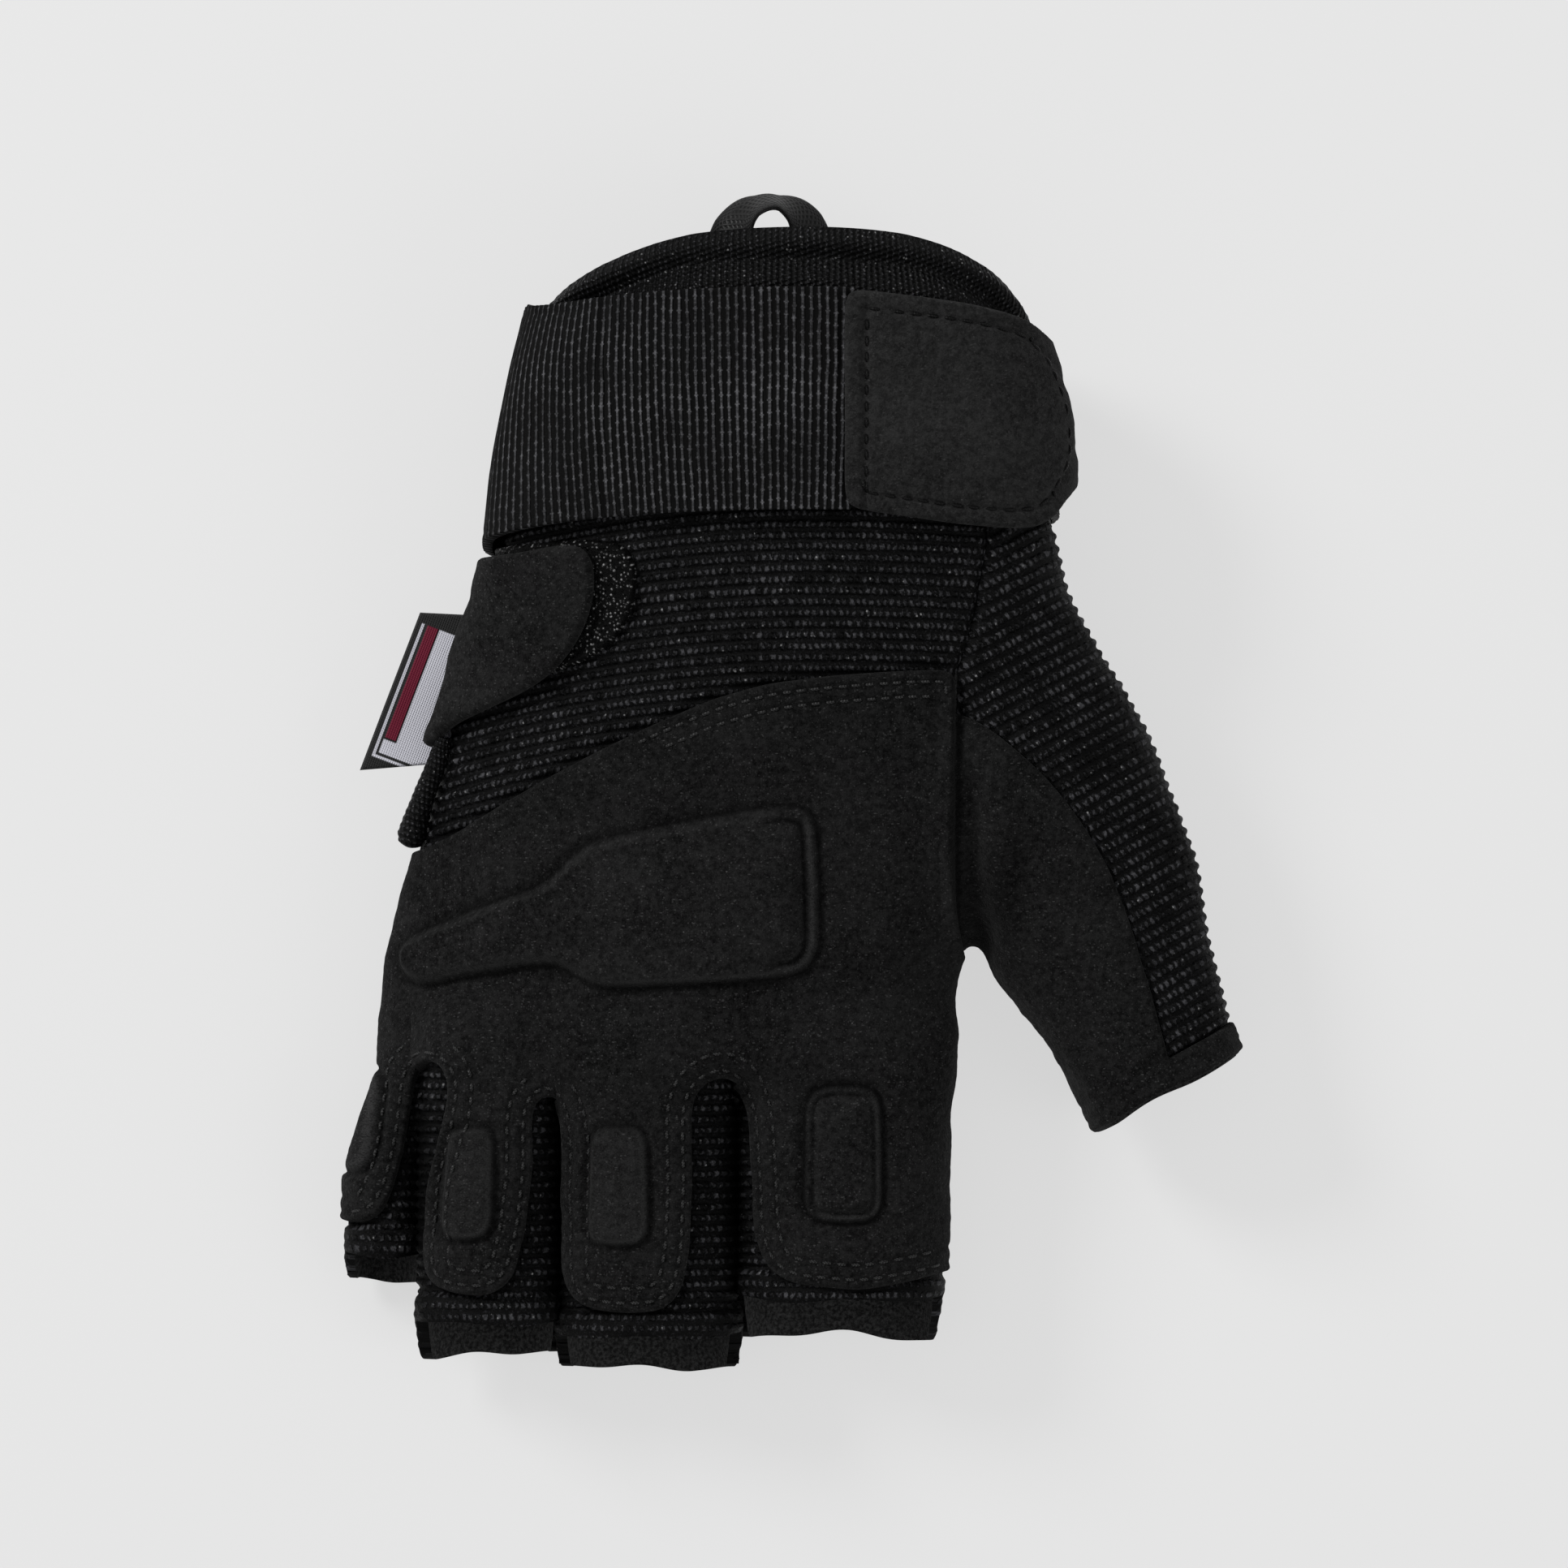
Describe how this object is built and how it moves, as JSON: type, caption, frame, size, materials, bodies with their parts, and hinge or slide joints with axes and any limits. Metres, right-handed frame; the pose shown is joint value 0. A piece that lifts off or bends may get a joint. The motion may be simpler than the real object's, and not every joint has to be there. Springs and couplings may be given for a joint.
{
  "type": "fingerless tactical glove",
  "caption": "Right-hand fingerless glove in black suede and rib knit, with a moulded knuckle pad, a wide elastic wrist strap with a suede closing tab, and a pull loop.",
  "frame": {"origin": "centre of the underside of the palm, on the flat grip patch; the glove lies palm down", "axes": "+Y from the fingers to the cuff, +X to the thumb side, +Z out of the back of the hand"},
  "size_m": [0.1442, 0.1841, 0.0434],
  "materials": {
    "suede": "synthetic suede, matte",
    "rib_knit": "horizontal rib knit, stretch nylon",
    "cuff_cloth": "smooth laminated stretch cloth",
    "elastic_webbing": "woven elastic with raised ribs, slight sheen",
    "hook_and_loop": "short pile",
    "label_cloth": "woven label"
  },
  "bodies": {
    "hand": {"palm_panel": "suede", "back_knit_panel": "rib_knit", "thumb_base_knit": "rib_knit", "thumb_base_suede": "suede", "back_overlay": "suede", "knuckle_pad": "suede", "palm_grip_patch": "suede", "palm_heel_patch": "suede", "web_index_middle": "rib_knit", "web_middle_ring": "rib_knit", "cuff_sleeve": "cuff_cloth", "cuff_binding": "cuff_cloth", "strap_anchor": "elastic_webbing", "strap_loop_patch": "hook_and_loop", "closure_loop_patch": "hook_and_loop", "vent_binding": "rib_knit"},
    "strap": {"strap_webbing": "elastic_webbing"},
    "strap_end": {"strap_tab": "suede", "strap_tab_hook": "hook_and_loop"},
    "closure_flap": {"closure_tab": "suede", "closure_tab_hook": "hook_and_loop"},
    "label": {"side_label": "label_cloth"},
    "pull_tape": {"pull_loop": "elastic_webbing"},
    "thumb": {"thumb_stall_knit": "rib_knit", "thumb_stall_suede": "suede", "thumb_stall_palm": "suede"},
    "index_finger": {"index_stall_knit": "rib_knit", "index_stall_palm": "suede", "index_stall_overlay": "suede", "index_knuckle_pad": "suede"},
    "middle_finger": {"middle_stall_knit": "rib_knit", "middle_stall_palm": "suede", "middle_stall_overlay": "suede", "middle_knuckle_pad": "suede"},
    "ring_finger": {"ring_stall_knit": "rib_knit", "ring_stall_palm": "suede", "ring_stall_overlay": "suede", "ring_knuckle_pad": "suede"},
    "little_finger": {"little_stall_knit": "rib_knit", "little_stall_palm": "suede", "little_stall_overlay": "suede", "little_knuckle_pad": "suede"}
  },
  "joints": [
    {"name": "strap_swing", "type": "hinge", "parent": "hand", "child": "strap", "pos_m": [-0.04555, 0.0595, 0.0128], "axis": [-0.1581, -0.9874, 0], "range_deg": [0, 110]},
    {"name": "strap_tab_peel", "type": "hinge", "parent": "strap", "child": "strap_end", "pos_m": [0.01, 0.062, 0.0434], "axis": [0, -1, 0], "range_deg": [0, 90]},
    {"name": "closure_tab_peel", "type": "hinge", "parent": "hand", "child": "closure_flap", "pos_m": [-0.0529, 0.023, 0.012], "axis": [-0.2, -0.9798, 0], "range_deg": [0, 100]},
    {"name": "label_flap", "type": "hinge", "parent": "hand", "child": "label", "pos_m": [-0.0499, 0.0184, 0.0101], "axis": [0.2961, 0.9552, 0], "range_deg": [-20, 0]},
    {"name": "pull_loop_fold", "type": "hinge", "parent": "hand", "child": "pull_tape", "pos_m": [-0.0015, 0.0715, 0.0082], "axis": [1, 0, 0], "range_deg": [0, 60]},
    {"name": "thumb_swing", "type": "hinge", "parent": "hand", "child": "thumb", "pos_m": [0.051, -0.0195, 0.015], "axis": [0, 0, 1], "range_deg": [-18, 18], "stiffness_Nm_per_rad": 0.02},
    {"name": "index_flex", "type": "hinge", "parent": "hand", "child": "index_finger", "pos_m": [0.0108, -0.0495, 0.0152], "axis": [1, 0, 0], "range_deg": [0, 55], "stiffness_Nm_per_rad": 0.02},
    {"name": "middle_flex", "type": "hinge", "parent": "hand", "child": "middle_finger", "pos_m": [-0.0219, -0.052, 0.0152], "axis": [1, 0, 0], "range_deg": [0, 55], "stiffness_Nm_per_rad": 0.02},
    {"name": "ring_flex", "type": "hinge", "parent": "hand", "child": "ring_finger", "pos_m": [-0.0469, -0.051, 0.012], "axis": [1, 0, 0], "range_deg": [0, 50], "stiffness_Nm_per_rad": 0.02},
    {"name": "little_flex", "type": "hinge", "parent": "hand", "child": "little_finger", "pos_m": [-0.0617, -0.051, 0.012], "axis": [1, 0, 0], "range_deg": [0, 50], "stiffness_Nm_per_rad": 0.01}
  ],
  "couplings": [
    {"joint": "little_flex", "follows": "ring_flex", "ratio": 1}
  ]
}
